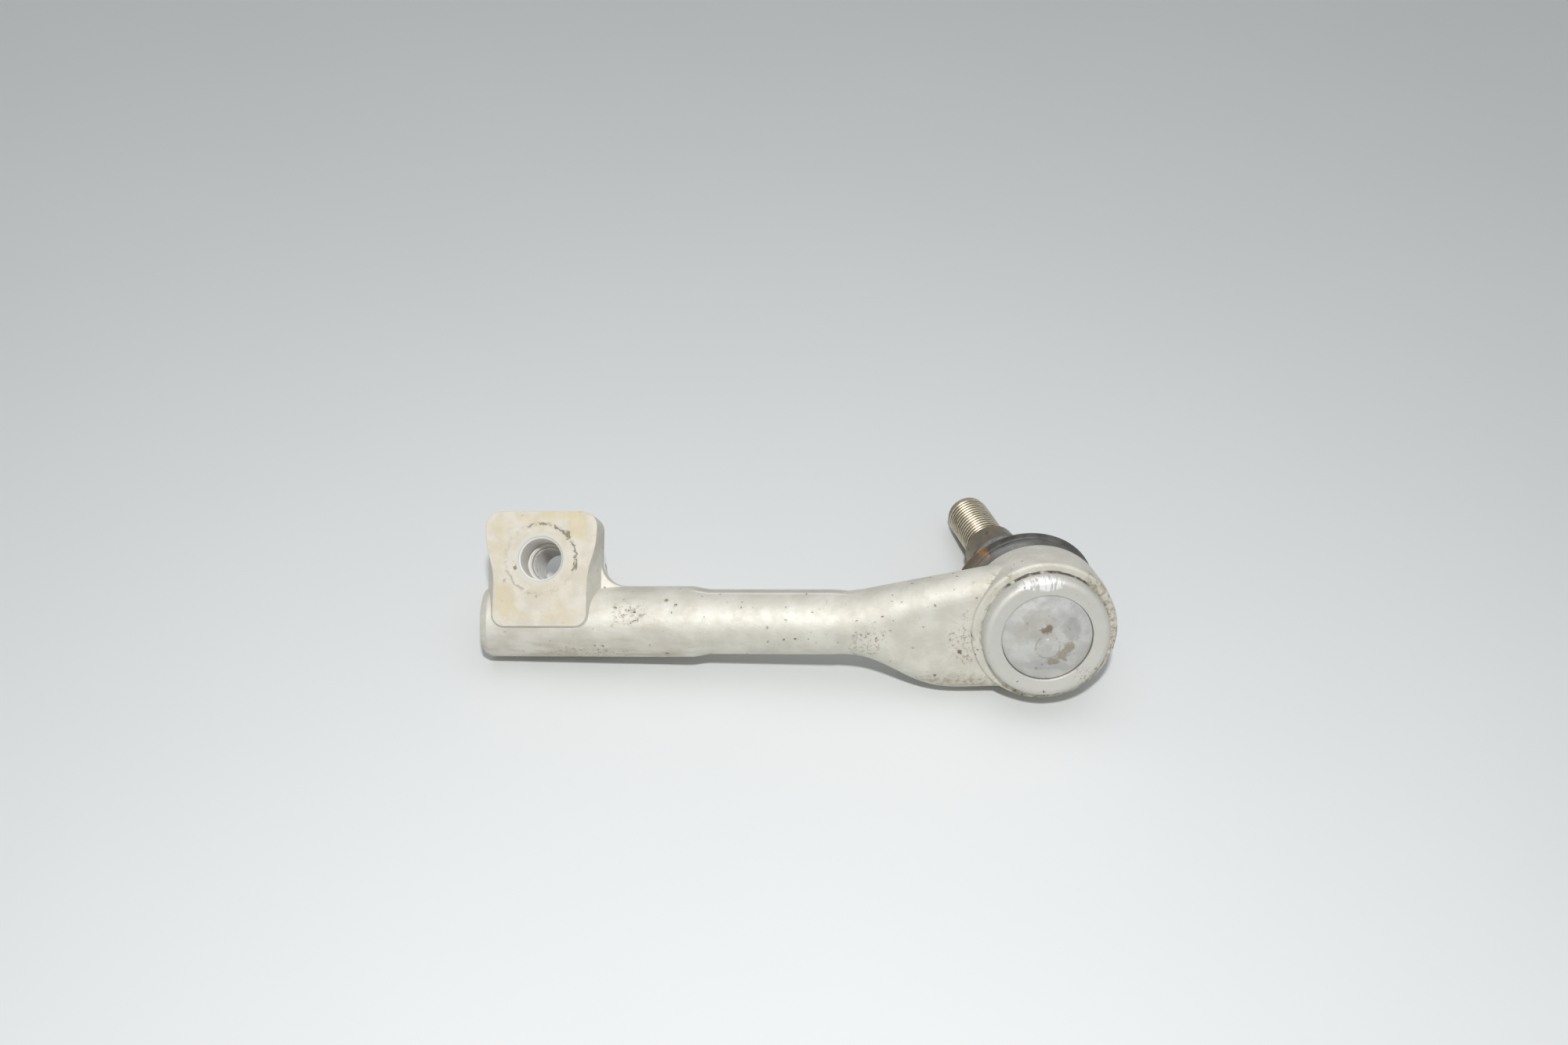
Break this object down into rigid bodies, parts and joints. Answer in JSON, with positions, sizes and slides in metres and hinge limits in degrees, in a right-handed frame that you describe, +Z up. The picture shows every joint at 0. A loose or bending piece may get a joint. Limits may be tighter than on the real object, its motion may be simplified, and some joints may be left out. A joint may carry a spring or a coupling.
{
  "type": "outer tie rod",
  "caption": "Outer tie rod: a light-alloy forging with a split, internally threaded clamp socket and bolt lug at one end and a booted ball joint with a tapered, threaded stud at the other.",
  "frame": {"origin": "centre of the bounding box on the plane that the part lies on", "axes": "+Z up from the table that the part lies on at rest; +X from the clamp end to the ball joint, level, with the rod's axis rising 3.9 degrees above it"},
  "size_m": [0.1896, 0.0894, 0.0458],
  "materials": {
    "forging": "satin, worn",
    "plate": "dull, brown stains",
    "seat": "plain",
    "stud": "turned, stained neck",
    "boot": "matt",
    "ring": "flat spring band"
  },
  "bodies": {
    "rod": {"forged_body": "forging", "closing_plate": "plate", "bearing_seat": "seat", "boot_lower_ring": "ring"},
    "boot": {"dust_boot": "boot"},
    "boot_collar": {"boot_upper_ring": "ring"},
    "stud": {"ball_stud": "stud"}
  },
  "joints": [
    {"name": "swing_direction", "type": "hinge", "parent": "rod", "child": "boot", "pos_m": [0.07265, -0.02333, 0.02177], "axis": [0.0491, -0.9324, 0.358], "continuous": true},
    {"name": "stud_swing", "type": "hinge", "parent": "boot", "child": "boot_collar", "pos_m": [0.07265, -0.02333, 0.02177], "axis": [-0.571, -0.3203, -0.7559], "range_deg": [-11.8, 38.2], "deforming": ["dust_boot"]},
    {"name": "stud_spin", "type": "hinge", "parent": "boot_collar", "child": "stud", "pos_m": [0.07265, -0.02333, 0.02177], "axis": [-0.2349, 0.946, -0.2233], "continuous": true}
  ]
}
